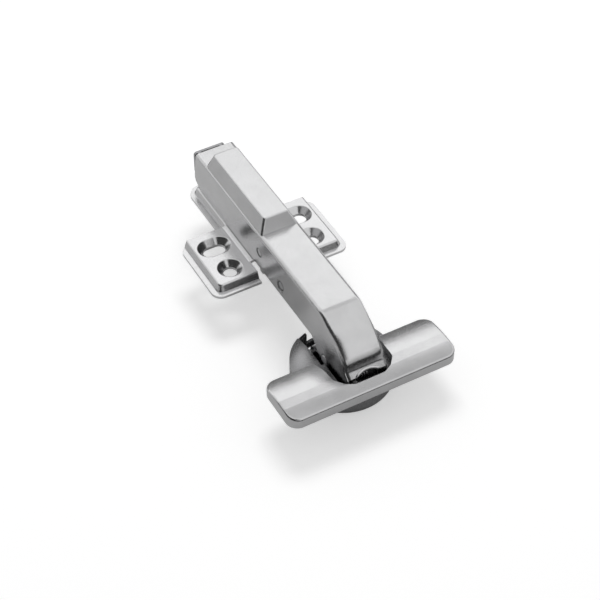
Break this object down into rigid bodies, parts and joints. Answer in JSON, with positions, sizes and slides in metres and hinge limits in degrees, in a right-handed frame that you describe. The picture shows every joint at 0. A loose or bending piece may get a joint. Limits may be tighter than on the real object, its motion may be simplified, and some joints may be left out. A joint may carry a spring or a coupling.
{
  "type": "concealed cup hinge",
  "caption": "Clip-on concealed cabinet hinge for a blind corner door, with a winged mounting plate, long channel arm, bevelled arm cover, link mechanism and a cup with a covered flange",
  "frame": {"origin": "between the two round screw holes of the mounting plate, on the plane the plate stands on", "axes": "X along the arm towards the cup, Y along the hinge axis, Z away from the panel"},
  "size_m": [0.1167, 0.062, 0.0378],
  "materials": {
    "nickel_plate": "satin nickel",
    "nickel_arm": "satin nickel",
    "nickel_link": "satin nickel",
    "nickel_cup": "satin nickel",
    "cover_satin": "satin nickel",
    "cover_bright": "bright nickel",
    "zinc_inner": "satin zinc",
    "pin_steel": "ground",
    "screw_steel": "satin zinc",
    "spring_steel": "drawn wire",
    "sleeve_plastic": "matte"
  },
  "bodies": {
    "base": {"mounting_plate": "nickel_plate", "base_slide": "zinc_inner", "front_hook_pin": "pin_steel", "lever_pin": "pin_steel", "lever_spring": "spring_steel"},
    "cam": {"cam_screw": "screw_steel"},
    "adjuster": {"tilt_pin": "pin_steel"},
    "arm": {"hinge_arm": "nickel_arm", "arm_cover": "cover_satin", "arm_pin_rear": "pin_steel", "arm_pin_front": "pin_steel", "spring_roller": "sleeve_plastic", "closing_spring": "spring_steel"},
    "side_screw": {"overlay_screw": "screw_steel"},
    "lever": {"release_lever": "zinc_inner"},
    "inner": {"inner_link": "nickel_link"},
    "cup_side": {"cup": "nickel_cup", "cup_cover": "cover_bright", "cup_pin_rear": "pin_steel", "cup_pin_front": "pin_steel"},
    "outer": {"outer_link": "nickel_link"}
  },
  "joints": [
    {"name": "depth_slide", "type": "slide", "parent": "base", "child": "adjuster", "axis": [1, 0, 0], "range_m": [-0.002, 0.002]},
    {"name": "cam_turn", "type": "hinge", "parent": "base", "child": "cam", "pos_m": [-0.014, 0, 0.015], "axis": [0, 0, 1], "range_deg": [-60.5, 60.5]},
    {"name": "arm_tilt", "type": "hinge", "parent": "adjuster", "child": "arm", "pos_m": [0.0201, 0, 0.0082], "axis": [0, 1, 0], "range_deg": [0, 2.9]},
    {"name": "overlay_turn", "type": "hinge", "parent": "arm", "child": "side_screw", "pos_m": [0.0002, 0, 0.016], "axis": [0, 0, 1], "range_deg": [0, 361]},
    {"name": "lever_swing", "type": "hinge", "parent": "base", "child": "lever", "pos_m": [-0.0396, 0, 0.013], "axis": [0, 1, 0], "range_deg": [0, 14], "stiffness_Nm_per_rad": 0.005, "springref_deg": -34.38, "deforming": ["lever_spring"]},
    {"name": "cup_swing", "type": "hinge", "parent": "inner", "child": "cup_side", "pos_m": [0.038, 0, -0.0103], "axis": [0, 1, 0], "range_deg": [0, 80.59], "stiffness_Nm_per_rad": 0.25, "springref_deg": -45.84},
    {"name": "inner_swing", "type": "hinge", "parent": "arm", "child": "inner", "pos_m": [0.0499, 0, 0.0003], "axis": [0, 1, 0], "range_deg": [0, 9.5]},
    {"name": "outer_swing", "type": "hinge", "parent": "cup_side", "child": "outer", "pos_m": [0.0402, 0, -0.0058], "axis": [0, 1, 0], "range_deg": [-102.6, 0], "deforming": ["closing_spring"]}
  ],
  "couplings": [
    {"joint": "cam_turn", "follows": "depth_slide", "rad_per_m": -523.6},
    {"joint": "overlay_turn", "follows": "arm_tilt", "ratio": 124.14},
    {"joint": "inner_swing", "follows": "cup_swing", "ratio": 0.11669},
    {"joint": "outer_swing", "follows": "cup_swing", "ratio": -1.2718}
  ]
}
